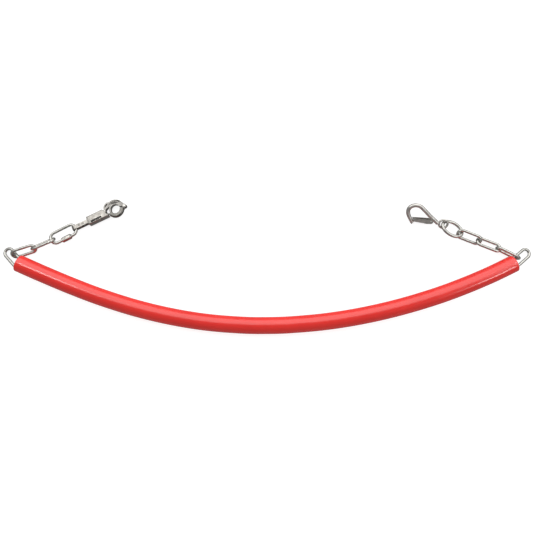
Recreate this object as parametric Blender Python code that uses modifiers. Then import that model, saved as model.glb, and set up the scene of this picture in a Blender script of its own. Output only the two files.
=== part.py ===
"""Hose-covered chain with a panic snap on its left end and a spring snap hook on its right end.

The chain lies as it is laid out flat: the hose sags in one smooth bow on the plane z = 0, and the
bare ends of the chain are folded back above it. Local shapes are written in millimetres and turned
into metres by MM. Every chain piece is placed by the wire centre of its near end, the end that is
hooked into its neighbour nearer to the hose, and by its yaw, pitch and roll.
"""
import math

import bmesh
import bpy
import numpy as np
from mathutils import Matrix, Vector

MM = 0.001
GAP = 0.3                     # clearance between neighbouring pieces

# Chain: 5 mm wire, 36 mm pitch, 20 mm wide.
WIRE = 5.0
LINK_HALF = 20.5              # link centre to the wire centre of its end
LINK_BEND = 7.5               # wire-centre radius of the rounded end
HIDDEN_LINKS = 25
HIDDEN_HALF = 20.1            # the hidden run is drawn out straight
HIDDEN_START = 0.82           # hose mouth to the wire centre of the first hidden link's near end

# Hose: 29 mm outside, 22 mm bore, laid along a hand-set bow.
HOSE_RADIUS = 14.5
HOSE_WALL = 3.5
HOSE_SEGMENTS = 30
HOSE_ROUTE = [
    (-423.6, 6.4), (-380.0, -12.8), (-330.0, -33.7), (-280.0, -52.5), (-220.0, -71.3), (-160.0, -85.4),
    (-100.0, -94.9), (-40.0, -99.6), (0.0, -100.2), (40.0, -98.9), (100.0, -93.5), (160.0, -84.0),
    (220.0, -70.5), (280.0, -53.0), (330.0, -35.1), (380.0, -14.1), (422.1, 6.2),
]
CENTRING = (-0.14, 0.38)      # puts the middle of the whole layout at the origin

# Lay of each loose piece: near wire centre (x, y, z), yaw, pitch, roll in degrees.
LAY = {
    "left_end_link": ((-419.3, 1.2, 14.4), 135.9, -16.0, 1.4),
    "left_link_1": ((-434.8, 19.8, 9.2), 18.0, -1.0, 44.0),
    "left_link_2": ((-401.1, 30.7, 9.6), 23.2, 0.0, 109.7),
    "quick_link": ((-368.6, 45.0, 9.1), 27.0, -0.8, -6.0),
    "panic_snap": ((-326.7, 66.3, 8.5), 25.5, 0.0, -12.0),
    "right_end_link": ((417.1, 2.3, 14.4), 37.8, -13.6, -0.6),
    "right_link_1": ((430.0, 13.9, 10.4), 153.6, -0.2, 96.9),
    "right_link_2": ((398.6, 30.0, 9.9), 158.4, -4.4, 33.5),
    "right_link_3": ((365.8, 43.3, 6.9), 158.6, -0.2, -34.5),
    "oval_link": ((333.7, 56.0, 7.2), 152.9, 3.6, 25.6),
    "snap_hook": ((301.4, 72.9, 9.55), 152.8, 4.7, -25.9),
}

# Quick link: 52 x 23.5 mm outside, its nut bridging the gap in one leg.
QUICK_HALF = 23.5
QUICK_BEND = 9.25
QUICK_GAP = (27.5, 32.5)      # break in the leg, from the near end's wire centre
NUT_AT = 25.6
NUT_LENGTH = 17.0
NUT_FLATS = 8.4
NUT_BORE = 5.9

# Panic snap, along u from the wire it hangs on: strap, shank, sleeve, ring.
STRAP_BEND = 3.5              # inside radius of the strap's fold
STRAP_SHEET = 1.6
STRAP_FOLD = -0.8             # centre of the fold, so that the wire lies against its inside
STRAP_HALF_WIDTH = 3.4
STRAP_END = 25.8
RIVETS_AT = (8.0, 15.0)
RIVET_RADIUS = 1.3
SHANK_START = 5.6
SHANK_HALF = (2.6, 2.6)
CORE_START = 26.4
CORE_RADIUS = 3.9
SLEEVE_START, SLEEVE_TOP_END, SLEEVE_LIP_END = 24.3, 54.6, 61.2
SLEEVE_HALF = (7.8, 6.6)      # half width across v, half height across w
SLEEVE_WALL = (1.4, 1.2)
FLANGE = (50.4, 51.9)
RING_CENTRE = (75.4, -0.9)
RING_INNER, RING_OUTER, RING_BAND, JAW_OUTER = 7.8, 16.4, 10.6, 14.8
KNUCKLE = (91.8, -2.7)
KNUCKLE_RADIUS = 3.4
FRAME_HALF = 4.0              # half thickness of the ring
TONGUE_HALF = 1.3
PIN_RADIUS = 1.5

# Oval link and snap hook.
OVAL_HALF, OVAL_WIDE, OVAL_WIRE = 18.5, 12.5, 5.6
EYE_RADIUS, EYE_WIRE = 7.2, 3.8
HOOK_RADIUS = 3.45
HOOK_LINE = [
    (45.6, 23.4), (49.6, 21.2), (54.0, 18.3), (58.4, 15.1), (62.0, 11.4), (64.2, 7.0), (64.4, 2.2),
    (62.0, -2.4), (58.0, -5.8), (53.0, -7.7), (48.0, -7.7), (41.0, -5.8), (34.0, -3.6), (27.0, -1.3),
    (20.0, 0.5), (13.0, 2.3), (7.4, 4.0),
]
GATE_PIVOT = (21.0, 5.9)
GATE_TIP = (50.0, 17.9)
GATE_PLATE = (3.8, 4.8)       # inner and outer face of each side plate, across w
GATE_PIN_RADIUS = 1.2


def rotation(yaw, pitch, roll):
    """Turn about z, then tip the x axis up by pitch, then roll about x."""
    turn = Matrix.Rotation(math.radians(yaw), 4, "Z")
    tip = Matrix.Rotation(-math.radians(pitch), 4, "Y")
    return turn @ tip @ Matrix.Rotation(math.radians(roll), 4, "X")


def lay(name):
    """World matrix of a loose piece's own frame."""
    near, yaw, pitch, roll = LAY[name]
    place = Vector((near[0] + CENTRING[0], near[1] + CENTRING[1], near[2])) * MM
    return Matrix.Translation(place) @ rotation(yaw, pitch, roll)


def arc(centre, radius, start, end, steps):
    """Points on an arc, angles in degrees."""
    turns = np.radians(np.linspace(start, end, steps + 1))
    return [(centre[0] + radius * math.cos(t), centre[1] + radius * math.sin(t)) for t in turns]


def stadium(half, bend, steps):
    """Closed centreline of a link whose near end is at x = 0."""
    far = arc((2 * half - bend, 0), bend, -90, 90, steps)
    near = arc((bend, 0), bend, 90, 270, steps)
    return [(x, y, 0) for x, y in far + near]


def oval(half, wide, steps):
    """Closed ellipse whose near end is at x = 0."""
    turns = np.linspace(0, 2 * math.pi, steps, endpoint=False)
    return [(half + half * math.cos(t), wide * math.sin(t), 0) for t in turns]


def hose_path():
    """Evenly spaced points along a Catmull-Rom curve through the hose's route, and its tangents."""
    route = np.array(HOSE_ROUTE) + CENTRING
    ends = np.vstack([2 * route[0] - route[1], route, 2 * route[-1] - route[-2]])
    fine = []
    for a, b, c, d in zip(ends[:-3], ends[1:-2], ends[2:-1], ends[3:]):
        for t in np.linspace(0, 1, 40, endpoint=False):
            fine.append(0.5 * (2 * b + (c - a) * t + (2 * a - 5 * b + 4 * c - d) * t ** 2
                               + (3 * b - a - 3 * c + d) * t ** 3))
    fine = np.array(fine + [route[-1]])
    run = np.concatenate([[0], np.cumsum(np.linalg.norm(np.diff(fine, axis=0), axis=1))])
    return fine, run


def on_hose(distance):
    """Point on the hose's centreline at a distance from its left mouth."""
    fine, run = hose_path()
    return (*[float(np.interp(distance, run, fine[:, k])) for k in (0, 1)], HOSE_RADIUS)


def hose_length():
    return float(hose_path()[1][-1])


def collection(name):
    new = bpy.data.collections.new(name)
    bpy.context.scene.collection.children.link(new)
    return new


def material(name, colour, metallic, roughness):
    new = bpy.data.materials.new(name)
    new.use_nodes = True
    shader = new.node_tree.nodes["Principled BSDF"]
    shader.inputs["Base Color"].default_value = (*colour, 1)
    shader.inputs["Metallic"].default_value = metallic
    shader.inputs["Roughness"].default_value = roughness
    return new


def add_mesh(name, mesh, place=None):
    piece = bpy.data.objects.new(name, mesh)
    piece.matrix_world = place or Matrix.Identity(4)
    PARTS.objects.link(piece)
    return piece


def from_curve(name, curve, weld=True):
    """Mesh object made from a curve, with its caps welded on."""
    holder = bpy.data.objects.new(name, curve)
    bpy.context.scene.collection.objects.link(holder)
    bpy.context.view_layer.update()
    evaluated = holder.evaluated_get(bpy.context.evaluated_depsgraph_get())
    mesh = bpy.data.meshes.new_from_object(evaluated)
    bpy.data.objects.remove(holder)
    bpy.data.curves.remove(curve)
    if weld:
        shell = bmesh.new()
        shell.from_mesh(mesh)
        bmesh.ops.remove_doubles(shell, verts=shell.verts, dist=0.00001)
        bmesh.ops.recalc_face_normals(shell, faces=shell.faces)
        shell.to_mesh(mesh)
        shell.free()
    mesh.name = name
    return mesh


def tube(name, points, radius, cyclic=False, resolution=2, caps=True, radii=None):
    """Round rod along points given in millimetres."""
    curve = bpy.data.curves.new(name, "CURVE")
    curve.dimensions = "3D"
    curve.bevel_depth = radius * MM
    curve.bevel_resolution = resolution
    curve.use_fill_caps = caps
    spline = curve.splines.new("POLY")
    spline.points.add(len(points) - 1)
    for number, (point, place) in enumerate(zip(spline.points, points)):
        point.co = (*[c * MM for c in place], 1)
        point.radius = radii[number] if radii else 1
    spline.use_cyclic_u = cyclic
    return from_curve(name, curve)


def plate(name, outlines, low, high):
    """Flat outlines in millimetres, extruded from low to high across w. An inner outline is a hole."""
    curve = bpy.data.curves.new(name, "CURVE")
    curve.dimensions = "2D"
    curve.fill_mode = "BOTH"
    curve.extrude = (high - low) / 2 * MM
    for outline in outlines:
        spline = curve.splines.new("POLY")
        spline.points.add(len(outline) - 1)
        for point, (u, v) in zip(spline.points, outline):
            point.co = (u * MM, v * MM, 0, 1)
        spline.use_cyclic_u = True
    mesh = from_curve(name, curve)
    mesh.transform(Matrix.Translation((0, 0, (low + high) / 2 * MM)))
    return mesh


def rod(name, centre, radius, low, high, sides=16, axis="Z"):
    """Plain cylinder in millimetres along w, or along u when axis is X."""
    shell = bmesh.new()
    turn = Matrix.Rotation(math.pi / 2, 4, "Y") if axis == "X" else Matrix.Identity(4)
    middle = (low + high) / 2
    spot = (middle, centre[0], centre[1]) if axis == "X" else (centre[0], centre[1], middle)
    bmesh.ops.create_cone(shell, cap_ends=True, segments=sides, radius1=radius * MM, radius2=radius * MM,
                          depth=(high - low) * MM, matrix=Matrix.Translation(Vector(spot) * MM) @ turn)
    mesh = bpy.data.meshes.new(name)
    shell.to_mesh(mesh)
    shell.free()
    return mesh


def block(name, low, high):
    """Box between two corners in millimetres."""
    shell = bmesh.new()
    size = [(b - a) * MM for a, b in zip(low, high)]
    middle = [(a + b) / 2 * MM for a, b in zip(low, high)]
    place = Matrix.Translation(middle) @ Matrix.Diagonal((*size, 1))
    bmesh.ops.create_cube(shell, size=1, matrix=place)
    mesh = bpy.data.meshes.new(name)
    shell.to_mesh(mesh)
    shell.free()
    return mesh


def boolean(piece, mesh, operation):
    """Cut or join a mesh given in the piece's own frame."""
    tool = bpy.data.objects.new(f"{piece.name}_{operation.lower()}_{len(piece.modifiers)}", mesh)
    tool.matrix_world = piece.matrix_world.copy()
    tool.hide_render = True
    tool.display_type = "WIRE"
    CUTTERS.objects.link(tool)
    step = piece.modifiers.new(tool.name, "BOOLEAN")
    step.operation = operation
    step.object = tool


def round_edges(piece, width):
    bevel = piece.modifiers.new("rounded_edges", "BEVEL")
    bevel.width = width * MM
    bevel.segments = 1
    bevel.limit_method = "ANGLE"
    bevel.angle_limit = math.radians(50)


def finish(pieces, look):
    for piece in pieces:
        piece.data.materials.append(look)
        piece.data.shade_smooth()
        piece.data.set_sharp_from_angle(angle=math.radians(40))


def pivot(name, point, pieces):
    """Empty on a joint's axis, at a point in metres, that carries the pieces moving with it."""
    empty = bpy.data.objects.new(name, None)
    empty.empty_display_size = 0.01
    empty.location = point
    PARTS.objects.link(empty)
    bpy.context.view_layer.update()
    for piece in pieces:
        piece.parent = empty
        piece.matrix_parent_inverse = empty.matrix_world.inverted()


# ---------------------------------------------------------------- hose and hidden chain

def build_hose():
    run = np.linspace(0, hose_length(), HOSE_SEGMENTS + 1)
    mesh = tube("hose_cover", [on_hose(d) for d in run], HOSE_RADIUS, resolution=7, caps=False)
    piece = add_mesh("hose_cover", mesh)
    wall = piece.modifiers.new("wall", "SOLIDIFY")
    wall.thickness = HOSE_WALL * MM
    wall.offset = -1
    wall.use_even_offset = True
    return piece


def hidden_ends():
    """Wire-centre distances from the left mouth of each hidden link's two ends."""
    step = (hose_length() - 2 * HIDDEN_START - 2 * HIDDEN_HALF) / (HIDDEN_LINKS - 1)
    starts = [HIDDEN_START + n * step for n in range(HIDDEN_LINKS)]
    return [(start, start + 2 * HIDDEN_HALF) for start in starts]


def build_hidden_links():
    """Plain links inside the hose, each a quarter turn from the last, standing upright at both mouths."""
    links = []
    for number, (near, far) in enumerate(hidden_ends()):
        a = Vector(on_hose(near))
        b = Vector(on_hose(far))
        middle = (a + b) / 2
        heading = math.degrees(math.atan2(b.y - a.y, b.x - a.x))
        start = middle - (b - a).normalized() * HIDDEN_HALF
        place = Matrix.Translation(start * MM) @ rotation(heading, 0, 90 if number % 2 == 0 else 0)
        name = f"core_link_{number + 1:02d}"
        mesh = tube(name, stadium(HIDDEN_HALF, LINK_BEND, 4), WIRE / 2, cyclic=True, resolution=1)
        links.append(add_mesh(name, mesh, place))
    return links


# ---------------------------------------------------------------- open chain links

def build_link(name, steps=8):
    mesh = tube(name, stadium(LINK_HALF, LINK_BEND, steps), WIRE / 2, cyclic=True, resolution=2)
    return add_mesh(name, mesh, lay(name))


def build_quick_link():
    place = lay("quick_link")
    right = 2 * QUICK_HALF - QUICK_BEND
    upper = arc((right, 0), QUICK_BEND, -90, 90, 10) + arc((QUICK_BEND, 0), QUICK_BEND, 90, 270, 10)
    line = [(QUICK_GAP[1], -QUICK_BEND)] + upper + [(QUICK_GAP[0], -QUICK_BEND)]
    body = add_mesh("quick_link_body", tube("quick_link_body", [(x, y, 0) for x, y in line], WIRE / 2), place)
    shift = (-QUICK_BEND, 0)
    low, high = NUT_AT - NUT_LENGTH / 2, NUT_AT + NUT_LENGTH / 2
    corner = NUT_FLATS / math.sqrt(3)
    nut = add_mesh("quick_link_nut", rod("quick_link_nut", shift, corner, low, high, 6, "X"), place)
    boolean(nut, rod("bore", shift, NUT_BORE / 2, low - 1, high + 1, 12, "X"), "DIFFERENCE")
    return [body, nut]


# ---------------------------------------------------------------- panic snap

def build_strap(place):
    """Flat steel folded round the quick link, one leg above and one below the shank."""
    inner, outer = STRAP_BEND, STRAP_BEND + STRAP_SHEET
    fold = (STRAP_FOLD, 0)
    side = arc(fold, outer, 90, 270, 10) + [(STRAP_END, -outer), (STRAP_END, -inner)]
    side += arc(fold, inner, 270, 90, 10) + [(STRAP_END, inner), (STRAP_END, outer)]
    mesh = plate("snap_strap", [side], -STRAP_HALF_WIDTH, STRAP_HALF_WIDTH)
    mesh.transform(Matrix.Rotation(math.pi / 2, 4, "X"))
    strap = add_mesh("snap_strap", mesh, place)
    for at in RIVETS_AT:
        boolean(strap, rod("rivet_hole", (at, 0), RIVET_RADIUS + GAP, -8, 8, 12), "DIFFERENCE")
    return strap


def build_frame(place):
    """Shank, core, head and the fixed part of the ring, in one forging."""
    outline = [(52.5, -0.5), (59.1, -0.5), (59.5, 4.6), (62.5, 6.2)]
    outline += arc(RING_CENTRE, RING_BAND, 128, 194, 7) + arc(RING_CENTRE, RING_INNER, 194, 3, 18)
    outline += arc(KNUCKLE, KNUCKLE_RADIUS, 170, 430, 12)
    outline += arc(RING_CENTRE, RING_OUTER, 10, 108, 12)
    outline += [(66.5, 15.9), (62.5, 14.9), (59.3, 12.4), (57.3, 9.0), (57.1, 6.1), (52.5, 6.1)]
    slit = [(59.5, 9.0), (61.1, 8.8), (67.1, 12.2), (66.5, 13.6), (63.3, 12.8), (60.3, 10.8)]
    ring = plate("snap_frame", [outline, slit], -FRAME_HALF, FRAME_HALF)
    frame = add_mesh("snap_frame", ring, place)
    boolean(frame, rod("core", (0, 0), CORE_RADIUS, CORE_START, 56, 14, "X"), "UNION")
    boolean(frame, block("shank", (SHANK_START, -SHANK_HALF[0], -SHANK_HALF[1]), (28, *SHANK_HALF)), "UNION")
    boolean(frame, rod("fork", KNUCKLE, 4.4, -TONGUE_HALF - GAP, TONGUE_HALF + GAP, 20), "DIFFERENCE")
    boolean(frame, rod("pin_hole", KNUCKLE, PIN_RADIUS + GAP, -6, 6, 12), "DIFFERENCE")
    for at in RIVETS_AT:
        boolean(frame, rod("rivet_hole", (at, 0), RIVET_RADIUS + GAP, -8, 8, 12), "DIFFERENCE")
    return frame


def build_jaw(place):
    """Hinged part of the ring, with a flat tongue at the knuckle and a nose that the sleeve holds."""
    nose = [(64.8, -4.1), (62.3, -3.2), (59.5, -2.1), (59.5, -4.2), (60.8, -4.5)]
    outline = arc(RING_CENTRE, RING_INNER, -14, -162, 16) + nose
    outline += arc(RING_CENTRE, JAW_OUTER, -162, -32, 14)
    jaw = add_mesh("snap_jaw", plate("snap_jaw", [outline], -FRAME_HALF + 0.3, FRAME_HALF - 0.3), place)
    boolean(jaw, rod("knuckle_clearance", KNUCKLE, KNUCKLE_RADIUS + 0.5, -6, 6, 20), "DIFFERENCE")
    tongue = arc(KNUCKLE, KNUCKLE_RADIUS - 0.1, -75, 180, 12) + [(83.7, -4.4), (86.3, -9.4)]
    boolean(jaw, plate("tongue", [tongue], -TONGUE_HALF, TONGUE_HALF), "UNION")
    boolean(jaw, rod("pin_hole", KNUCKLE, PIN_RADIUS + GAP, -6, 6, 12), "DIFFERENCE")
    return jaw


def build_sleeve(place):
    """Sliding collar: slanted mouth, inner flange for the spring, slot in its top, thumb lip below."""
    wide, tall = SLEEVE_HALF
    inside_v, inside_w = wide - SLEEVE_WALL[0], tall - SLEEVE_WALL[1]
    outline = [(SLEEVE_START, -wide), (SLEEVE_LIP_END, -wide), (SLEEVE_TOP_END, wide), (SLEEVE_START, wide)]
    sleeve = add_mesh("release_sleeve", plate("release_sleeve", [outline], -tall, tall), place)
    round_edges(sleeve, 1.2)
    back, front = block("cavity", (25.8, -inside_v, -inside_w), (FLANGE[0], inside_v, inside_w)), FLANGE[1]
    boolean(sleeve, back, "DIFFERENCE")
    boolean(sleeve, block("pocket", (front, -inside_v, -inside_w), (66, inside_v, inside_w)), "DIFFERENCE")
    boolean(sleeve, rod("flange_hole", (0, 0), CORE_RADIUS + 0.4, 46, 54, 14, "X"), "DIFFERENCE")
    rear = (STRAP_HALF_WIDTH + 0.4, STRAP_BEND + STRAP_SHEET + 0.35)
    boolean(sleeve, block("rear_opening", (23, -rear[0], -rear[1]), (27, *rear)), "DIFFERENCE")
    boolean(sleeve, block("slot", (29.5, -5.6, 4), (49.5, -2.2, 8)), "DIFFERENCE")
    return sleeve


def build_sleeve_spring(place):
    turns, per_turn, mean = 7, 8, 4.75
    start, end = CORE_START + 0.3, FLANGE[0] - 0.9
    coil = []
    for n in range(turns * per_turn + 1):
        t = 2 * math.pi * n / per_turn
        coil.append((start + (end - start) * n / (turns * per_turn), mean * math.cos(t), mean * math.sin(t)))
    return add_mesh("sleeve_spring", tube("sleeve_spring", coil, 0.45, resolution=1), place)


def build_headed_pin(name, centre, radius, half, head, place):
    pin = add_mesh(name, rod(name, centre, radius, -half, half, 12), place)
    for low, high in ((half - 0.2, half + 0.8), (-half - 0.8, -half + 0.2)):
        boolean(pin, rod("head", centre, head, low, high, 12), "UNION")
    return pin


def build_panic_snap():
    place = lay("panic_snap")
    face = STRAP_BEND + STRAP_SHEET
    rivets = [add_mesh(f"strap_rivet_{n + 1}", rod("rivet", (at, 0), RIVET_RADIUS, -face, face, 12), place)
              for n, at in enumerate(RIVETS_AT)]
    pin = build_headed_pin("jaw_pin", KNUCKLE, PIN_RADIUS, FRAME_HALF + GAP, 2.6, place)
    fixed = [build_frame(place), build_strap(place), pin, build_sleeve_spring(place), *rivets]
    return fixed, build_sleeve(place), build_jaw(place)


# ---------------------------------------------------------------- oval link and snap hook

def build_oval_link():
    mesh = tube("oval_link", oval(OVAL_HALF, OVAL_WIDE, 24), OVAL_WIRE / 2, cyclic=True, resolution=2)
    return add_mesh("oval_link", mesh, lay("oval_link"))


def build_hook_body(place):
    """Bent round rod from the nose to the neck, joined to a round eye and a pivot boss."""
    line = [(u, v, 0) for u, v in HOOK_LINE]
    taper = [0.9, 0.92, 0.96] + [1.0] * (len(line) - 5) + [0.9, 0.74]
    body = add_mesh("hook_body", tube("hook_body", line, HOOK_RADIUS, resolution=3, radii=taper), place)
    eye = [(u, v, 0) for u, v in arc((0, 0), EYE_RADIUS, 0, 345, 23)]
    boolean(body, tube("eye", eye, EYE_WIRE / 2, cyclic=True, resolution=2), "UNION")
    boolean(body, rod("boss", GATE_PIVOT, 3.0, -2.2, 2.2, 14), "UNION")
    boolean(body, rod("gate_pin_hole", GATE_PIVOT, GATE_PIN_RADIUS + GAP, -6, 6, 12), "DIFFERENCE")
    return body


def gate_frame():
    """The gate's own frame: x from its pivot towards its tip."""
    lean = math.atan2(GATE_TIP[1] - GATE_PIVOT[1], GATE_TIP[0] - GATE_PIVOT[0])
    length = math.hypot(GATE_TIP[0] - GATE_PIVOT[0], GATE_TIP[1] - GATE_PIVOT[1])
    place = Matrix.Translation((GATE_PIVOT[0] * MM, GATE_PIVOT[1] * MM, 0)) @ Matrix.Rotation(lean, 4, "Z")
    return place, length


def build_gate(place):
    """Folded channel: two side plates past the rod, closed by a web on the outside and at the tip."""
    inner, outer = GATE_PLATE
    turn, length = gate_frame()
    side = arc((0, 0), 3.7, 90, 270, 8)
    side += [(length - 0.5, -2.3), (length - 0.2, -1.7), (length - 2.9, 2.4), (length - 4.2, 2.7), (6, 4.3)]
    gate = add_mesh("hook_gate", plate("hook_gate", [side], -outer, outer), place @ turn)
    channel = [(-6, -6), (length - 4.4, -6), (length - 4.4, 1.4), (4.6, 3.0), (3.4, 6), (-6, 6)]
    boolean(gate, plate("channel", [channel], -inner, inner), "DIFFERENCE")
    boolean(gate, rod("gate_pin_hole", (0, 0), GATE_PIN_RADIUS + GAP, -6, 6, 12), "DIFFERENCE")
    return gate


def build_gate_spring(place):
    """A turn and a half round the pin, between the boss and the upper side plate."""
    turn, _ = gate_frame()
    coil = []
    for n in range(16):
        t = 3 * math.pi * n / 15
        coil.append((2.1 * math.cos(t), 2.1 * math.sin(t), 2.6 + 0.8 * n / 15))
    return add_mesh("gate_spring", tube("gate_spring", coil, 0.22, resolution=1), place @ turn)


def build_snap_hook():
    place = lay("snap_hook")
    pin = build_headed_pin("gate_pin", GATE_PIVOT, GATE_PIN_RADIUS, GATE_PLATE[1] + GAP, 1.9, place)
    return [build_hook_body(place), pin, build_gate_spring(place)], build_gate(place)


# ---------------------------------------------------------------- pivots and assembly

def along(name, u, v=0.0):
    """World point at (u, v) millimetres in a loose piece's own plane."""
    return lay(name) @ Vector((u * MM, v * MM, 0))


def set_pivots(links, quick, jaw, oval):
    """Carriers of the pieces whose joint axis doesn't pass through their own origin."""
    mouths = (HIDDEN_START, hose_length() - HIDDEN_START)
    for name, distance in zip(("left_end_link", "right_end_link"), mouths):
        pivot(f"{name}_pivot", Vector(on_hose(distance)) * MM, [links[name]])
    pivot("left_link_1_pivot", along("left_link_1", WIRE + GAP), [links["left_link_1"]])
    pivot("quick_link_pivot", along("left_link_2", 2 * LINK_HALF), quick)
    pivot("oval_link_pivot", along("right_link_3", 2 * LINK_HALF), [oval])
    pivot("jaw_pivot", along("panic_snap", *KNUCKLE), [jaw])


for old in list(bpy.data.objects):
    bpy.data.objects.remove(old)

PARTS = collection("hose_covered_chain")
CUTTERS = collection("cutters")

RED_HOSE = material("red_hose", (0.72, 0.035, 0.03), 0.0, 0.35)
ZINC = material("zinc_plated_steel", (0.42, 0.41, 0.39), 1.0, 0.38)
SPRING_STEEL = material("spring_steel", (0.30, 0.30, 0.31), 1.0, 0.3)

hose = build_hose()
hidden = build_hidden_links()
finish([hose], RED_HOSE)
finish(hidden, ZINC)

open_links = {name: build_link(name) for name in LAY if name.endswith("_link") or "_link_" in name
              if name not in ("quick_link", "oval_link")}
quick_body, quick_nut = build_quick_link()
snap_fixed, sleeve, jaw = build_panic_snap()
oval_link = build_oval_link()
hook_fixed, gate = build_snap_hook()
set_pivots(open_links, [quick_body, quick_nut], jaw, oval_link)
springs = [p for p in snap_fixed + hook_fixed if p.name.endswith("spring")]
finish(springs, SPRING_STEEL)
finish([p for p in [*open_links.values(), quick_body, quick_nut, sleeve, jaw, oval_link, gate,
                    *snap_fixed, *hook_fixed] if p not in springs], ZINC)
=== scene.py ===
"""Looks for the hose-covered chain. Lengths are written in millimetres and turned into metres by MM."""

import math

import bmesh
import bpy
import numpy as np
from mathutils import Matrix, Vector


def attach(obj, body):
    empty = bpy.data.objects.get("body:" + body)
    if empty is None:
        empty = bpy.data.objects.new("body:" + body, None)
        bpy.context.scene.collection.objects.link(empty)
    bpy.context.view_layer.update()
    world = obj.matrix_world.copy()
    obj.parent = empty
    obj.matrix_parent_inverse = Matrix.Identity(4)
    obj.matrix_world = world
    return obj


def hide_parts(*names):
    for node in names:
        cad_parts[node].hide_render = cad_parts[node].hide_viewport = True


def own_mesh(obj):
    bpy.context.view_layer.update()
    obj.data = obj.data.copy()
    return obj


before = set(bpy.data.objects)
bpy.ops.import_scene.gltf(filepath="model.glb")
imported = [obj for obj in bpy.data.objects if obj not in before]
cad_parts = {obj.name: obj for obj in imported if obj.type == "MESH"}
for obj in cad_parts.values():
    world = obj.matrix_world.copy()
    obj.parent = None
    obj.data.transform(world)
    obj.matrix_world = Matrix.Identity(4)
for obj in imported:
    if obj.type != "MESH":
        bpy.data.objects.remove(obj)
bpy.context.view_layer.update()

MM = 0.001
CENTRING = (-0.14, 0.38)

HOSE_RADIUS = 14.5
HOSE_BORE = 11.0
HOSE_ROUTE = [
    (-423.6, 6.4), (-380.0, -12.8), (-330.0, -33.7), (-280.0, -52.5), (-220.0, -71.3), (-160.0, -85.4),
    (-100.0, -94.9), (-40.0, -99.6), (0.0, -100.2), (40.0, -98.9), (100.0, -93.5), (160.0, -84.0),
    (220.0, -70.5), (280.0, -53.0), (330.0, -35.1), (380.0, -14.1), (422.1, 6.2),
]

WIRE = 5.0
LINK_HALF, LINK_BEND = 20.5, 7.5
HIDDEN_HALF, HIDDEN_START, HIDDEN_LINKS = 20.1, 0.82, 25

# Near wire centre (x, y, z), yaw, pitch and roll of every loose piece, as in the CAD.
LAY = {
    "left_end_link": ((-419.3, 1.2, 14.4), 135.9, -16.0, 1.4),
    "left_link_1": ((-434.8, 19.8, 9.2), 18.0, -1.0, 44.0),
    "left_link_2": ((-401.1, 30.7, 9.6), 23.2, 0.0, 109.7),
    "quick_link": ((-368.6, 45.0, 9.1), 27.0, -0.8, -6.0),
    "panic_snap": ((-326.7, 66.3, 8.5), 25.5, 0.0, -12.0),
    "right_end_link": ((417.1, 2.3, 14.4), 37.8, -13.6, -0.6),
    "right_link_1": ((430.0, 13.9, 10.4), 153.6, -0.2, 96.9),
    "right_link_2": ((398.6, 30.0, 9.9), 158.4, -4.4, 33.5),
    "right_link_3": ((365.8, 43.3, 6.9), 158.6, -0.2, -34.5),
    "oval_link": ((333.7, 56.0, 7.2), 152.9, 3.6, 25.6),
    "snap_hook": ((301.4, 72.9, 9.55), 152.8, 4.7, -25.9),
}
LINK_BODIES = {
    "left_end_link": "left_loop", "left_link_1": "left_link_a", "left_link_2": "left_link_b",
    "right_end_link": "right_loop", "right_link_1": "right_link_a", "right_link_2": "right_link_b",
    "right_link_3": "right_link_c",
}

QUICK_HALF, QUICK_BEND = 23.5, 9.25
QUICK_GAP = (27.5, 32.5)
NUT_AT, NUT_LENGTH = 25.6, 17.0
NUT_FLATS, NUT_BORE, NUT_TURNED = 8.4, 2.95, 4.25
THREAD_START, THREAD_RADIUS, THREAD_DEPTH, THREAD_PITCH = 12.5, 2.42, 0.08, 0.9

RING = (75.4, -0.9)
RING_INNER, RING_BAND, RING_OUTER, RING_HALF = 7.8, 10.6, 16.4, 4
JAW_OUTER, JAW_HALF = 14.8, 3.7
KNUCKLE, KNUCKLE_RADIUS = (91.8, -2.7), 3.4
CORE_START, CORE_END, CORE_RADIUS = 26.4, 56, 3.9
SHANK_START, SHANK_RADIUS = 5.8, 2.6
STRAP_INNER, STRAP_OUTER, STRAP_END, STRAP_FOLD, STRAP_HALF_WIDTH = 3.5, 5.1, 25.8, -0.8, 3.4
RIVETS_AT, RIVET_RADIUS = (8.0, 15.0), 1.3
SLEEVE_START, SLEEVE_TOP_END, SLEEVE_LIP_END = 24.3, 54.6, 61.2
SLEEVE_WIDE, SLEEVE_TALL = 7.8, 6.6
SLEEVE_CAVITY_START, FLANGE, FLANGE_HOLE = 25.8, (50.4, 51.9), 4.4
SLEEVE_SPRING, SLEEVE_SPRING_SHUT = (26.8, 49.8), 38.8
OVAL_HALF, OVAL_WIDE, OVAL_WIRE = 18.5, 12.5, 5.6
HOOK_LINE = [
    (45.6, 23.4), (49.6, 21.2), (54.0, 18.3), (58.4, 15.1), (62.0, 11.4), (64.2, 7.0), (64.4, 2.2),
    (62.0, -2.4), (58.0, -5.8), (53.0, -7.7), (48.0, -7.7), (41.0, -5.8), (34.0, -3.6), (27.0, -1.3),
    (20.0, 0.5), (13.0, 2.3), (7.4, 4.0),
]
EYE_RADIUS, EYE_WIRE_RADIUS = 7.2, 1.9
GATE_PIVOT, GATE_TIP = (21.0, 5.9), (50.0, 17.9)
GATE_HALF_WIDTH, GATE_SHEET = 4.8, 1.0


# ---------------------------------------------------------------- placing and building

def rotation(yaw, pitch, roll):
    turn = Matrix.Rotation(math.radians(yaw), 4, "Z")
    tip = Matrix.Rotation(-math.radians(pitch), 4, "Y")
    return turn @ tip @ Matrix.Rotation(math.radians(roll), 4, "X")


def lay(name):
    near, yaw, pitch, roll = LAY[name]
    place = Vector((near[0] + CENTRING[0], near[1] + CENTRING[1], near[2])) * MM
    return Matrix.Translation(place) @ rotation(yaw, pitch, roll)


def arc(centre, radius, start, end, steps):
    turns = np.radians(np.linspace(start, end, steps + 1))
    return [(centre[0] + radius * math.cos(t), centre[1] + radius * math.sin(t)) for t in turns]


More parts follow.
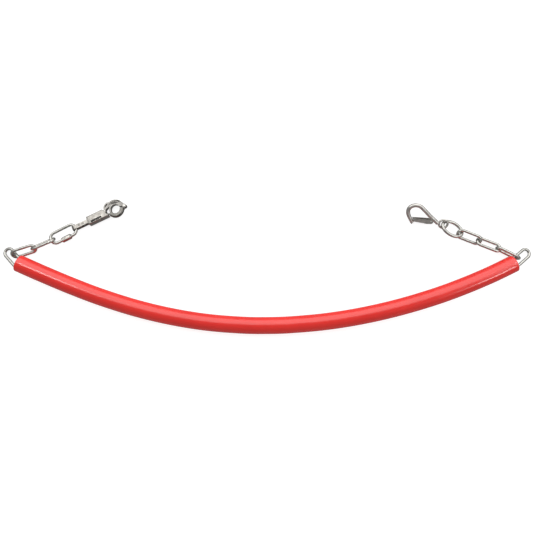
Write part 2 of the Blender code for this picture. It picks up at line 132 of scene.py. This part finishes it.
def smooth_line(points, per):
    """Catmull-Rom curve through points of any dimension."""
    p = np.array(points, float)
    ends = np.vstack([2 * p[0] - p[1], p, 2 * p[-1] - p[-2]])
    fine = []
    for a, b, c, d in zip(ends[:-3], ends[1:-2], ends[2:-1], ends[3:]):
        for t in np.linspace(0, 1, per, endpoint=False):
            fine.append(0.5 * (2 * b + (c - a) * t + (2 * a - 5 * b + 4 * c - d) * t ** 2
                               + (3 * b - a - 3 * c + d) * t ** 3))
    fine.append(p[-1])
    return np.array(fine)


def make(name, verts, faces, look, place=None, sharp=40, uvs=None):
    mesh = bpy.data.meshes.new(name)
    mesh.from_pydata([tuple(v) for v in np.array(verts) * MM], [], faces)
    if uvs is not None:
        layer = mesh.uv_layers.new(name="UVMap")
        for loop, uv in zip(layer.data, uvs):
            loop.uv = uv
    if uvs is None and len(faces) > 1:
        shell = bmesh.new()
        shell.from_mesh(mesh)
        bmesh.ops.recalc_face_normals(shell, faces=shell.faces)
        shell.to_mesh(mesh)
        shell.free()
    mesh.materials.append(look)
    piece = bpy.data.objects.new(name, mesh)
    bpy.context.scene.collection.objects.link(piece)
    piece.matrix_world = place or Matrix.Identity(4)
    mesh.shade_smooth()
    mesh.set_sharp_from_angle(angle=math.radians(sharp))
    return piece


def frames(points, cyclic, hint):
    """Side and top directions of the section at every point of a path."""
    p = np.array(points, float)
    if cyclic:
        tangent = np.roll(p, -1, 0) - np.roll(p, 1, 0)
    else:
        tangent = np.gradient(p, axis=0)
    tangent /= np.linalg.norm(tangent, axis=1)[:, None]
    side = np.cross(np.array(hint, float), tangent)
    side /= np.linalg.norm(side, axis=1)[:, None]
    return side, np.cross(tangent, side)


def loft(rings, cyclic=False, caps=True):
    """Verts and faces of a skin through rings of equal length."""
    count = len(rings[0])
    verts = [v for ring in rings for v in ring]
    faces = []
    for i in range(len(rings) if cyclic else len(rings) - 1):
        a, b = i * count, (i + 1) % len(rings) * count
        for k in range(count):
            n = (k + 1) % count
            faces.append((a + k, a + n, b + n, b + k))
    if caps and not cyclic:
        faces.append(tuple(reversed(range(count))))
        faces.append(tuple(range(len(verts) - count, len(verts))))
    return verts, faces


def tube_parts(points, radii, sides=16, cyclic=False, hint=(0, 0, 1), dome=0.0):
    """Round section along a path; radii is one number or one per point. dome rounds the two ends."""
    p = np.array(points, float)
    if p.shape[1] == 2:
        p = np.hstack([p, np.zeros((len(p), 1))])
    r = np.full(len(p), float(radii)) if np.isscalar(radii) else np.array(radii, float)
    if dome and not cyclic:
        steps = np.radians([90, 60, 35, 15])
        first, last = p[0] - p[1], p[-1] - p[-2]
        first, last = first / np.linalg.norm(first), last / np.linalg.norm(last)
        head = [p[0] + first * dome * (math.sin(s) - 1) for s in steps]
        tail = [p[-1] + last * dome * (math.sin(s) - 1) for s in reversed(steps)]
        head_r = [r[0] * max(math.cos(s), 0.05) for s in steps]
        tail_r = [r[-1] * max(math.cos(s), 0.05) for s in reversed(steps)]
        keep = slice(1, -1)
        p = np.vstack([head, p[keep], tail])
        r = np.concatenate([head_r, r[keep], tail_r])
    side, top = frames(p, cyclic, hint)
    turns = np.linspace(0, 2 * math.pi, sides, endpoint=False)
    rings = [[p[i] + r[i] * (math.cos(t) * side[i] + math.sin(t) * top[i]) for t in turns]
             for i in range(len(p))]
    return loft(rings, cyclic)


def join(parts):
    """One verts-and-faces pair from several."""
    verts, faces = [], []
    for v, f in parts:
        faces += [tuple(i + len(verts) for i in face) for face in f]
        verts += [tuple(x) for x in v]
    return verts, faces


def soft_corners(outline, radius, steps=4):
    """Rounds the corners of a closed 2D outline."""
    out = []
    p = [np.array(q, float) for q in outline]
    for before, here, after in zip(p[-1:] + p[:-1], p, p[1:] + p[:1]):
        a, b = before - here, after - here
        reach = min(radius, 0.45 * np.linalg.norm(a), 0.45 * np.linalg.norm(b))
        a, b = here + a / np.linalg.norm(a) * reach, here + b / np.linalg.norm(b) * reach
        for t in np.linspace(0, 1, steps):
            out.append((1 - t) ** 2 * a + 2 * t * (1 - t) * here + t ** 2 * b)
    return out


def flat(name, outlines, low, high, look, place, edge=0.6, segments=3):
    """Plate from flat outlines, with rounded rims. Inner outlines are holes."""
    curve = bpy.data.curves.new(name, "CURVE")
    curve.dimensions = "2D"
    curve.fill_mode = "BOTH"
    curve.extrude = (high - low) / 2 * MM
    for outline in outlines:
        spline = curve.splines.new("POLY")
        spline.points.add(len(outline) - 1)
        for point, (u, v) in zip(spline.points, outline):
            point.co = (u * MM, v * MM, 0, 1)
        spline.use_cyclic_u = True
    holder = bpy.data.objects.new(name, curve)
    bpy.context.scene.collection.objects.link(holder)
    bpy.context.view_layer.update()
    mesh = bpy.data.meshes.new_from_object(holder.evaluated_get(bpy.context.evaluated_depsgraph_get()))
    bpy.data.objects.remove(holder)
    bpy.data.curves.remove(curve)
    shell = bmesh.new()
    shell.from_mesh(mesh)
    bmesh.ops.remove_doubles(shell, verts=shell.verts, dist=0.00001)
    bmesh.ops.recalc_face_normals(shell, faces=shell.faces)
    shell.to_mesh(mesh)
    shell.free()
    mesh.transform(Matrix.Translation((0, 0, (low + high) / 2 * MM)))
    mesh.materials.clear()
    mesh.materials.append(look)
    piece = bpy.data.objects.new(name, mesh)
    bpy.context.scene.collection.objects.link(piece)
    piece.matrix_world = place
    if edge:
        bevel(piece, edge, segments)
    return piece


def bevel(piece, width, segments=3, angle=40):
    step = piece.modifiers.new("rounded_rim", "BEVEL")
    step.width = width * MM
    step.segments = segments
    step.limit_method = "ANGLE"
    step.angle_limit = math.radians(angle)
    step.harden_normals = True
    piece.data.shade_smooth()


def rod(centre, radius, low, high, sides=32, axis="Z", chamfer=0.3):
    """Verts and faces of a cylinder with chamfered ends, along w or along u."""
    rings = []
    stations = ((low, radius - chamfer), (low + chamfer, radius), (high - chamfer, radius),
                (high, radius - chamfer))
    for at, r in stations:
        circle = arc(centre, r, 0, 360 - 360 / sides, sides - 1)
        rings.append([(at, x, y) if axis == "X" else (x, y, at) for x, y in circle])
    return loft(rings)


TOOLS = []


def cut(piece, parts, operation="DIFFERENCE"):
    tool = make(f"{piece.name}_tool", *parts, METAL)
    tool.matrix_world = piece.matrix_world.copy()
    step = piece.modifiers.new("cut", "BOOLEAN")
    step.operation = operation
    step.object = tool
    step.solver = "EXACT"
    TOOLS.append((piece, tool))


def settle(piece):
    """Applies every modifier."""
    bpy.context.view_layer.update()
    evaluated = piece.evaluated_get(bpy.context.evaluated_depsgraph_get())
    mesh = bpy.data.meshes.new_from_object(evaluated)
    old = piece.data
    piece.modifiers.clear()
    piece.data = mesh
    bpy.data.meshes.remove(old)
    for owner, tool in [pair for pair in TOOLS if pair[0] is piece]:
        TOOLS.remove((owner, tool))
        bpy.data.objects.remove(tool)


def place_piece(piece, body, *nodes, slot="galvanised_steel"):
    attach(piece, body)
    if nodes:
        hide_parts(*nodes)
    return piece


# ---------------------------------------------------------------- materials

def nodes_of(name):
    look = bpy.data.materials.new(name)
    look.use_nodes = True
    tree = look.node_tree
    return look, tree, tree.nodes["Principled BSDF"]


def noise(tree, source, scale, detail=3.0, stretch=None):
    texture = tree.nodes.new("ShaderNodeTexNoise")
    texture.inputs["Scale"].default_value = scale
    texture.inputs["Detail"].default_value = detail
    if stretch:
        mapping = tree.nodes.new("ShaderNodeMapping")
        mapping.inputs["Scale"].default_value = stretch
        tree.links.new(source, mapping.inputs["Vector"])
        source = mapping.outputs["Vector"]
    tree.links.new(source, texture.inputs["Vector"])
    return texture.outputs["Fac"]


def ramp(tree, value, stops):
    node = tree.nodes.new("ShaderNodeValToRGB")
    while len(node.color_ramp.elements) < len(stops):
        node.color_ramp.elements.new(0.5)
    for element, (at, colour) in zip(node.color_ramp.elements, stops):
        element.position = at
        element.color = (*colour, 1) if hasattr(colour, "__len__") else (colour, colour, colour, 1)
    tree.links.new(value, node.inputs["Fac"])
    return node.outputs["Color"]


def bump(tree, shader, height, strength, distance):
    node = tree.nodes.new("ShaderNodeBump")
    node.inputs["Strength"].default_value = strength
    node.inputs["Distance"].default_value = distance
    tree.links.new(height, node.inputs["Height"])
    tree.links.new(node.outputs["Normal"], shader.inputs["Normal"])


def plated_steel(name, dark, light, rough=(0.28, 0.42), grain=(1, 1, 1), strength=0.15):
    """Zinc-plated steel: mottled tone and gloss, with a fine grain."""
    look, tree, shader = nodes_of(name)
    shader.inputs["Metallic"].default_value = 1.0
    where = tree.nodes.new("ShaderNodeTexCoord").outputs["Object"]
    mottle = noise(tree, where, 160, 4)
    tree.links.new(ramp(tree, mottle, [(0.3, dark), (0.7, light)]), shader.inputs["Base Color"])
    gloss = noise(tree, where, 420, 3)
    tree.links.new(ramp(tree, gloss, [(0.3, rough[0]), (0.72, rough[1])]), shader.inputs["Roughness"])
    bump(tree, shader, noise(tree, where, 900, 4, grain), strength, 0.00015)
    return look


def hose_material():
    """Smooth soft plastic with faint lengthwise drawing lines and a slightly uneven surface."""
    look, tree, shader = nodes_of("red_hose")
    shader.inputs["Specular IOR Level"].default_value = 0.8
    shader.inputs["Coat Weight"].default_value = 0.3
    shader.inputs["Coat Roughness"].default_value = 0.22
    uv = tree.nodes.new("ShaderNodeUVMap").outputs["UV"]
    where = tree.nodes.new("ShaderNodeTexCoord").outputs["Object"]
    tone = noise(tree, where, 22, 3)
    colour = ramp(tree, tone, [(0.3, (0.80, 0.020, 0.014)), (0.7, (0.88, 0.026, 0.018))])
    tree.links.new(colour, shader.inputs["Base Color"])
    gloss = noise(tree, where, 60, 4)
    tree.links.new(ramp(tree, gloss, [(0.3, 0.19), (0.7, 0.25)]), shader.inputs["Roughness"])
    lines = noise(tree, uv, 30, 3, (0.25, 9.0, 1.0))
    bump(tree, shader, lines, 0.10, 0.0006)
    return look


METAL = plated_steel("zinc_plated_steel", (0.47, 0.46, 0.43), (0.64, 0.63, 0.59), (0.26, 0.42), strength=0.22)
CAST = plated_steel("cast_steel", (0.24, 0.23, 0.215), (0.40, 0.385, 0.36), (0.28, 0.44), strength=0.4)
# Darker copy of the cast steel for the jaw: painted shade that stands in for the shadow and dark reflection
# on the jaw.
PAINTED_SHADE_CAST = plated_steel("jaw_painted_shade_steel", (0.13, 0.125, 0.115), (0.24, 0.23, 0.21), (0.28, 0.44), strength=0.4)
ROD = plated_steel("hook_steel", (0.52, 0.50, 0.47), (0.74, 0.72, 0.68), (0.30, 0.46), strength=0.4)
SHEET = plated_steel("rolled_steel", (0.30, 0.285, 0.26), (0.46, 0.44, 0.405), (0.26, 0.42), (1, 6, 6), 0.35)
SPRING = plated_steel("spring_steel", (0.50, 0.50, 0.50), (0.70, 0.70, 0.69), (0.18, 0.28))
PIN = plated_steel("pin_steel", (0.34, 0.33, 0.31), (0.48, 0.46, 0.43), (0.30, 0.45))
HOSE = hose_material()


# ---------------------------------------------------------------- hose

def hose_run():
    route = smooth_line(np.array(HOSE_ROUTE) + CENTRING, 40)
    run = np.concatenate([[0], np.cumsum(np.linalg.norm(np.diff(route, axis=0), axis=1))])
    return route, run


def build_hose():
    """Tube with an open bore; its cut ends have softened rims."""
    route, run = hose_run()
    length = run[-1]
    rim, lip = 2.6, 0.9
    outer = [(0.0, HOSE_BORE + lip), (0.0, HOSE_RADIUS - rim)]
    outer += [(rim * (1 - math.cos(t)), HOSE_RADIUS - rim * (1 - math.sin(t)))
              for t in np.radians([15, 30, 45, 60, 75, 90])]
    middle = [(s, HOSE_RADIUS) for s in np.linspace(rim, length - rim, 150)[1:-1]]
    mirror = [(length - s, r) for s, r in reversed(outer)]
    inner = [(length - lip * (1 - math.sin(t)), HOSE_BORE + lip * (1 - math.cos(t)))
             for t in np.radians([60, 30, 0])]
    back = [(s, HOSE_BORE) for s in np.linspace(length - lip - 1, lip + 1, 90)]
    front = [(length - s, r) for s, r in reversed(inner)]
    profile = outer + middle + mirror + inner + back + front
    sides = 56
    rings, around = [], np.linspace(0, 1, sides + 1)
    for s, r in profile:
        x = np.interp(s, run, route[:, 0])
        y = np.interp(s, run, route[:, 1])
        ends = [min(s + 1, length), max(s - 1, 0)]
        ahead, behind = zip(np.interp(ends, run, route[:, 0]), np.interp(ends, run, route[:, 1]))
        t = np.array([ahead[0] - behind[0], ahead[1] - behind[1], 0])
        t /= np.linalg.norm(t)
        side = np.array([-t[1], t[0], 0])
        middle_point, up = np.array([x, y, HOSE_RADIUS]), np.array([0, 0, 1])
        rings.append([middle_point + r * (math.sin(a) * side - math.cos(a) * up)
                      for a in around[:-1] * 2 * math.pi])
    verts, faces = loft(rings, cyclic=True)
    uvs = []
    for i in range(len(profile)):
        a = profile[i][0] / 100
        b = profile[(i + 1) % len(profile)][0] / 100
        for k in range(sides):
            uvs += [(a, around[k]), (a, around[k + 1]), (b, around[k + 1]), (b, around[k])]
    hose = make("hose", verts, faces, HOSE, uvs=uvs)
    place_piece(hose, "hose_run", "hose_cover", slot="red_hose")


# ---------------------------------------------------------------- chain links

def link_parts(half, bend, sides=16):
    """Rounded-end loop of wire whose weld shows as a low swelling in the middle of one leg."""
    straight = np.linspace(0, 1, 13)[1:-1]
    left, right = bend, 2 * half - bend
    line = arc((right, 0), bend, -90, 90, 16) + [(right + (left - right) * t, bend) for t in straight]
    line += arc((left, 0), bend, 90, 270, 16) + [(left + (right - left) * t, -bend) for t in straight]
    radii = [WIRE / 2 * (1 + 0.09 * math.exp(-((x - half) / 1.6) ** 2) * (y > 0)) for x, y in line]
    return tube_parts(line, radii, sides, cyclic=True)


def build_links():
    shape = link_parts(LINK_HALF, LINK_BEND)
    for name, body in LINK_BODIES.items():
        link = make(f"{name}_wire", *shape, METAL, lay(name))
        place_piece(link, body, name)
    route, run = hose_run()
    step = (run[-1] - 2 * HIDDEN_START - 2 * HIDDEN_HALF) / (HIDDEN_LINKS - 1)
    shape = link_parts(HIDDEN_HALF, LINK_BEND, 12)
    for number in (0, 1, HIDDEN_LINKS - 2, HIDDEN_LINKS - 1):
        near = HIDDEN_START + number * step
        a, b = [Vector((np.interp(s, run, route[:, 0]), np.interp(s, run, route[:, 1]), HOSE_RADIUS))
                for s in (near, near + 2 * HIDDEN_HALF)]
        start = (a + b) / 2 - (b - a).normalized() * HIDDEN_HALF
        heading = math.degrees(math.atan2(b.y - a.y, b.x - a.x))
        place = Matrix.Translation(start * MM) @ rotation(heading, 0, 90 if number % 2 == 0 else 0)
        link = make(f"inner_link_{number + 1:02d}_wire", *shape, METAL, place)
        place_piece(link, "hose_run", f"core_link_{number + 1:02d}")
    for number in range(2, HIDDEN_LINKS - 2):
        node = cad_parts[f"core_link_{number + 1:02d}"]
        node.data.materials.clear()
        node.data.materials.append(METAL)
    ellipse = [(OVAL_HALF + OVAL_HALF * math.cos(t), OVAL_WIDE * math.sin(t))
               for t in np.linspace(0, 2 * math.pi, 72, endpoint=False)]
    oval = tube_parts(ellipse, OVAL_WIRE / 2, 18, cyclic=True)
    oval = make("oval_link_wire", *oval, METAL, lay("oval_link"))
    place_piece(oval, "oval_link", "oval_link")


# ---------------------------------------------------------------- quick link

def build_quick_link():
    place = lay("quick_link")
    right = 2 * QUICK_HALF - QUICK_BEND
    ends = [(x, -QUICK_BEND) for x in np.linspace(QUICK_GAP[1], right, 8)[:-1]]
    line = ends + arc((right, 0), QUICK_BEND, -90, 90, 20) + arc((QUICK_BEND, 0), QUICK_BEND, 90, 270, 20)
    line += [(x, -QUICK_BEND) for x in np.linspace(QUICK_BEND, QUICK_GAP[0], 40)[1:]]
    radii = []
    for x, y in line:
        threaded = y < -QUICK_BEND + 0.01 and THREAD_START < x < QUICK_GAP[0]
        thread = THREAD_RADIUS + THREAD_DEPTH * math.cos(2 * math.pi * x / THREAD_PITCH)
        radii.append(thread if threaded else WIRE / 2)
    parts = tube_parts(line, radii, 18, dome=0.8)
    body = make("quick_link_wire", *parts, METAL, place)
    place_piece(body, "quick_link", "quick_link_body")
    low, high = NUT_AT - NUT_LENGTH / 2, NUT_AT + NUT_LENGTH / 2
    corner, bore, turned = NUT_FLATS / math.sqrt(3), NUT_BORE, NUT_TURNED
    sections = [(low, bore, True), (low, turned - 0.5, True), (low + 0.5, turned, True),
                (low + 1.3, corner, False), (high - 1.3, corner, False),
                (high - 0.5, turned, True), (high, turned - 0.5, True),
                (high, bore, True)]
    rings = []
    for x, r, round_one in sections:
        ring = []
        for a in np.radians(np.arange(0, 360, 5)):
            hexagon = corner * math.cos(math.pi / 6) / math.cos((a % (math.pi / 3)) - math.pi / 6)
            reach = r if round_one else min(hexagon, corner * 0.985)
            ring.append((x, -QUICK_BEND + reach * math.cos(a), reach * math.sin(a)))
        rings.append(ring)
    nut = make("quick_link_hex_nut", *loft(rings, cyclic=True), SHEET, place, sharp=22)
    place_piece(nut, "quick_link_nut", "quick_link_nut")


# ---------------------------------------------------------------- panic snap

def rounded_box(low, high, radius):
    """Outline of a rounded rectangle from corner to corner."""
    corners = [(high[0], high[1]), (low[0], high[1]), (low[0], low[1]), (high[0], low[1])]
    return soft_corners(corners, radius, 6)


def ring_sector(start, end, steps, round_in, round_out):
    """The jaw's cast arc round the ring's centre, its inner corners rounded less than its outer ones."""
    section = []
    section += arc((JAW_OUTER - round_out, JAW_HALF - round_out), round_out, 0, 90, 6)
    section += arc((RING_INNER + round_in, JAW_HALF - round_in), round_in, 90, 180, 6)
    section += arc((RING_INNER + round_in, -JAW_HALF + round_in), round_in, 180, 270, 6)
    section += arc((JAW_OUTER - round_out, -JAW_HALF + round_out), round_out, 270, 360, 6)
    rings = []
    for angle in np.radians(np.linspace(start, end, steps)):
        across, up = math.cos(angle), math.sin(angle)
        rings.append([(RING[0] + r * across, RING[1] + r * up, w) for r, w in section])
    return loft(rings)


def build_snap_frame(place):
    outline = [(52.5, -0.5), (59.1, -0.5), (59.5, 4.6), (62.5, 6.2)]
    outline += arc(RING, RING_BAND, 128, 194, 20) + arc(RING, RING_INNER, 194, 3, 60)
    outline += arc(KNUCKLE, KNUCKLE_RADIUS, 170, 430, 30) + arc(RING, RING_OUTER, 10, 108, 36)
    outline += [(66.5, 15.9), (62.5, 14.9), (59.3, 12.4), (57.3, 9.0), (57.1, 6.1), (52.5, 6.1)]
    slit = [(59.5, 9.0), (61.1, 8.8), (67.1, 12.2), (66.5, 13.6), (63.3, 12.8), (60.3, 10.8)]
    slit = soft_corners(slit, 1.5)
    ring = flat("snap_ring_cast", [outline, slit], -RING_HALF, RING_HALF, CAST, place, 0)
    cut(ring, rod(KNUCKLE, 4.4, -1.6, 1.6, 48, chamfer=0.01))
    cut(ring, rod(KNUCKLE, 1.8, -6, 6, 24))
    settle(ring)
    bevel(ring, 0.9, 3, 50)
    settle(ring)
    groove = arc(RING, 13.6, 38, 112, 30) + arc(RING, 12.3, 112, 38, 30)
    cut(ring, loft([[(u, v, 3.2) for u, v in groove], [(u, v, 5.0) for u, v in groove]]))
    settle(ring)
    ring.data.shade_smooth()
    ring.data.set_sharp_from_angle(angle=math.radians(35))
    core = join([rod((0, 0), CORE_RADIUS, CORE_START, CORE_END, 40, "X"),
                 tube_parts([(CORE_START + 0.2, 0), (SHANK_START, 0)], SHANK_RADIUS, 16)])
    core = make("snap_core", *core, CAST, place)
    place_piece(ring, "panic_snap", "snap_frame")
    place_piece(core, "panic_snap")


def build_snap_jaw(place):
    # The jaw, its nose and its tongue take the darker copy of the cast steel, which is painted shade.
    jaw = make("snap_jaw_cast", *ring_sector(-18, -156, 44, 1.0, 3.0), PAINTED_SHADE_CAST, place)
    cut(jaw, rod(KNUCKLE, 3.9, -6, 6, 48))
    settle(jaw)
    jaw.data.shade_smooth()
    jaw.data.set_sharp_from_angle(angle=math.radians(50))
    nose = [(64.8, -4.1), (62.3, -3.2), (59.5, -2.1), (59.5, -4.2), (60.8, -4.5)]
    outline = arc(RING, 8.2, -150, -162, 6) + nose + arc(RING, 14.4, -162, -150, 6)
    tip = flat("snap_jaw_nose", [outline], -3.5, 3.5, PAINTED_SHADE_CAST, place, 0.3, 2)
    place_piece(tip, "snap_jaw")
    tongue = soft_corners(arc(KNUCKLE, 3.3, -75, 180, 24) + [(83.7, -4.4), (86.3, -9.4)], 0.2)
    tongue = flat("snap_jaw_tongue", [tongue], -1.3, 1.3, PAINTED_SHADE_CAST, place, 0.2, 1)
    place_piece(jaw, "snap_jaw", "snap_jaw")
    place_piece(tongue, "snap_jaw")
    pin = join([rod(KNUCKLE, 1.5, -4.3, 4.3, 24), rod(KNUCKLE, 2.5, 4.1, 5.0, 32, chamfer=0.4),
                rod(KNUCKLE, 2.5, -5.0, -4.1, 32, chamfer=0.4)])
    place_piece(make("jaw_pin_riveted", *pin, METAL, place), "panic_snap", "jaw_pin")


def build_strap(place):
    fold = (STRAP_FOLD, 0)
    side = arc(fold, STRAP_OUTER, 90, 270, 24) + [(STRAP_END, -STRAP_OUTER), (STRAP_END, -STRAP_INNER)]
    side += arc(fold, STRAP_INNER, 270, 90, 24) + [(STRAP_END, STRAP_INNER), (STRAP_END, STRAP_OUTER)]
    strap = flat("snap_strap_folded", [side], -STRAP_HALF_WIDTH, STRAP_HALF_WIDTH, SHEET, place, 0)
    strap.data.transform(Matrix.Rotation(math.pi / 2, 4, "X"))
    for at in RIVETS_AT:
        cut(strap, rod((at, 0), RIVET_RADIUS + 0.3, -8, 8, 28))
    settle(strap)
    bevel(strap, 0.45, 2, 50)
    place_piece(strap, "panic_snap", "snap_strap")
    for number, at in enumerate(RIVETS_AT):
        shape = rod((at, 0), RIVET_RADIUS, -4.3, 4.3, 24, chamfer=0.4)
        rivet = make(f"strap_rivet_{number + 1}_flush", *shape, PIN, place)
        place_piece(rivet, "panic_snap", f"strap_rivet_{number + 1}")


def build_sleeve(place):
    wide, tall, start = SLEEVE_WIDE, SLEEVE_TALL, SLEEVE_START
    rings = []
    outer = rounded_box((-wide, -tall), (wide, tall), 2.6)
    inner = rounded_box((-wide + 1.4, -tall + 1.2), (wide - 1.4, tall - 1.2), 1.4)

    def mouth(v):
        return SLEEVE_TOP_END + (SLEEVE_LIP_END - SLEEVE_TOP_END) * (wide - v) / (2 * wide)

    stations = [(0.0, 0.7), (0.25, 0.2), (0.7, 0.0)]
    for along, shrink in stations:
        scale = (wide - shrink) / wide
        rings.append([(start + along, v * scale, w * scale) for v, w in outer])
    rings.append([(34.0, v, w) for v, w in outer])
    rings.append([(46.0, v, w) for v, w in outer])
    for along, shrink in reversed(stations):
        scale = (wide - shrink) / wide
        rings.append([(mouth(v) - along, v * scale, w * scale) for v, w in outer])
    rings.append([(mouth(v) - 0.1, v, w) for v, w in inner])
    rings.append([(FLANGE[1], v, w) for v, w in inner])
    collar = arc((0, 0), FLANGE_HOLE, 0, 360 - 360 / len(inner), len(inner) - 1)
    turn = int(round(len(inner) * math.atan2(inner[0][1], inner[0][0]) / (2 * math.pi)))
    collar = collar[turn:] + collar[:turn]
    rings.append([(FLANGE[1], v, w) for v, w in collar])
    rings.append([(FLANGE[0], v, w) for v, w in collar])
    rings.append([(FLANGE[0], v, w) for v, w in inner])
    rings.append([(SLEEVE_CAVITY_START, v, w) for v, w in inner])
    rear = rounded_box((-3.8, -5.45), (3.8, 5.45), 0.8)
    rings.append([(SLEEVE_CAVITY_START, v, w) for v, w in rear])
    rings.append([(start, v, w) for v, w in rear])
    sleeve = make("release_sleeve_shell", *loft(rings, cyclic=True), SHEET, place)
    slot = soft_corners([(29.5, -5.6), (49.5, -5.6), (49.5, -2.2), (29.5, -2.2)], 1.5, 5)
    slot = loft([[(u, v, 4.0) for u, v in slot], [(u, v, 9.0) for u, v in slot]])
    cut(sleeve, slot)
    settle(sleeve)
    sleeve.data.shade_smooth()
    sleeve.data.set_sharp_from_angle(angle=math.radians(35))
    place_piece(sleeve, "release_sleeve", "release_sleeve")


def build_spring(place):
    """Coil between the shank's shoulder and the sleeve's flange."""
    turns, mean, wire = 8, 4.75, 0.5
    (start, end), shut = SLEEVE_SPRING, SLEEVE_SPRING_SHUT
    points = []
    for t in np.linspace(0, 1, turns * 24 + 1):
        squeeze = t + 0.03 * math.sin(4 * math.pi * t)
        a = 2 * math.pi * turns * t
        points.append((start + (end - start) * squeeze, mean * math.cos(a), mean * math.sin(a)))
    coil = tube_parts(points, wire, 10, hint=(1, 0, 0), dome=0.3)
    spring = make("sleeve_spring_coil", *coil, SPRING, place)
    place_piece(spring, "panic_snap", "sleeve_spring", slot="spring_steel")
    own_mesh(spring)


def build_panic_snap():
    place = lay("panic_snap")
    build_snap_frame(place)
    build_snap_jaw(place)
    build_strap(place)
    build_sleeve(place)
    build_spring(place)


# ---------------------------------------------------------------- snap hook

def build_hook(place):
    line = smooth_line(HOOK_LINE, 6)
    run = np.linspace(0, len(HOOK_LINE) - 1, len(line))
    key = [3.2, 3.1, 3.2, 3.35] + [3.5] * 10 + [3.4, 3.4, 3.1]
    radii = np.interp(run, range(len(key)), key)
    rod_part = tube_parts(line, radii, 24, dome=2.0)
    eye = tube_parts(arc((0, 0), EYE_RADIUS, 0, 352.5, 47), EYE_WIRE_RADIUS, 16, cyclic=True)
    body = make("hook_rod", *rod_part, ROD, place)
    cut(body, eye, "UNION")
    cut(body, rod(GATE_PIVOT, 3.1, -2.2, 2.2, 32, chamfer=0.2), "UNION")
    cut(body, rod(GATE_PIVOT, 1.5, -6, 6, 24))
    settle(body)
    body.data.shade_smooth()
    body.data.set_sharp_from_angle(angle=math.radians(50))
    place_piece(body, "snap_hook", "hook_body")
    pin = join([rod(GATE_PIVOT, 1.2, -5.1, 5.1, 24), rod(GATE_PIVOT, 1.8, 4.9, 5.8, 28, chamfer=0.35),
                rod(GATE_PIVOT, 1.8, -5.8, -4.9, 28, chamfer=0.35)])
    place_piece(make("gate_pin_riveted", *pin, METAL, place), "snap_hook", "gate_pin")


def build_gate(place):
    lean = math.atan2(GATE_TIP[1] - GATE_PIVOT[1], GATE_TIP[0] - GATE_PIVOT[0])
    length = math.hypot(GATE_TIP[0] - GATE_PIVOT[0], GATE_TIP[1] - GATE_PIVOT[1])
    pivot = Matrix.Translation((GATE_PIVOT[0] * MM, GATE_PIVOT[1] * MM, 0))
    turn = place @ pivot @ Matrix.Rotation(lean, 4, "Z")
    side = arc((0, 0), 3.7, 90, 270, 20)
    side += [(length - 0.5, -2.3), (length - 0.2, -1.7), (length - 2.9, 2.4), (length - 4.2, 2.7), (6, 4.3)]
    gate = flat("hook_gate_channel", [side], -GATE_HALF_WIDTH, GATE_HALF_WIDTH, ROD, turn, 0)
    room = GATE_HALF_WIDTH - GATE_SHEET
    channel = [(-6, -6), (length - 4.4, -6), (length - 4.4, 1.4), (4.6, 3.0), (3.4, 6), (-6, 6)]
    cut(gate, loft([[(u, v, -room) for u, v in channel], [(u, v, room) for u, v in channel]]))
    cut(gate, rod((0, 0), 1.5, -6, 6, 24))
    settle(gate)
    bevel(gate, 0.35, 2, 40)
    place_piece(gate, "hook_gate", "hook_gate")
    coil = [(2.1 * math.cos(t), 2.1 * math.sin(t), 2.6 + 0.8 * t / (3 * math.pi))
            for t in np.linspace(0, 3 * math.pi, 37)]
    spring = make("gate_spring_coil", *tube_parts(coil, 0.22, 8, dome=0.1), SPRING, turn)
    place_piece(spring, "snap_hook", "gate_spring", slot="spring_steel")


# ---------------------------------------------------------------- room, light and camera

def area_light(name, size, power, place, target):
    data = bpy.data.lights.new(name, "AREA")
    data.shape = "RECTANGLE"
    data.size, data.size_y = size
    data.energy = power
    light = bpy.data.objects.new(name, data)
    bpy.context.scene.collection.objects.link(light)
    light.location = place
    light.rotation_euler = (Vector(target) - Vector(place)).to_track_quat("-Z", "Y").to_euler()


def build_room():
    look, tree, shader = nodes_of("white_floor")
    shader.inputs["Base Color"].default_value = (0.35, 0.35, 0.35, 1)
    shader.inputs["Roughness"].default_value = 0.9
    shader.inputs["Emission Color"].default_value = (1, 1, 1, 1)
    shader.inputs["Emission Strength"].default_value = 0.85
    floor = make("floor", [(-4000, -4000, 0), (4000, -4000, 0), (4000, 4000, 0), (-4000, 4000, 0)],
                 [(0, 1, 2, 3)], look)
    floor.location.z = -0.0002
    floor.visible_glossy = False
    world = bpy.data.worlds.new("studio")
    bpy.context.scene.world = world
    world.use_nodes = True
    world.node_tree.nodes["Background"].inputs["Color"].default_value = (1, 1, 1, 1)
    world.node_tree.nodes["Background"].inputs["Strength"].default_value = 0.24
    area_light("back_strip", (4.5, 0.6), 5, (0, 2.2, 0.36), (0, 0, 0.02))
    area_light("softbox_top_side", (5.0, 2.2), 52, (0, 1.30, 1.30), (0, 0, 0))
    area_light("hook_box", (0.9, 0.5), 3.4, (1.15, 0.22, 1.45), (0.32, 0, 0))
    area_light("left_strip", (0.10, 0.10), 1.6, (-0.69, 0.41, 1.30), (-0.40, 0, 0))
    area_light("right_strip", (0.10, 0.10), 1.6, (1.12, -0.53, 1.06), (0.38, 0, 0))


def build_camera():
    data = bpy.data.cameras.new("camera")
    data.lens = 41.0
    data.sensor_width = 36.0
    data.clip_start = 0.01
    camera = bpy.data.objects.new("camera", data)
    bpy.context.scene.collection.objects.link(camera)
    camera.location = (-0.00065, 0.00055, 1.0465)
    bpy.context.scene.camera = camera
    bpy.context.scene.view_settings.view_transform = "Standard"


build_camera()
build_hose()
build_links()
build_quick_link()
build_panic_snap()
build_hook(lay("snap_hook"))
build_gate(lay("snap_hook"))
build_room()
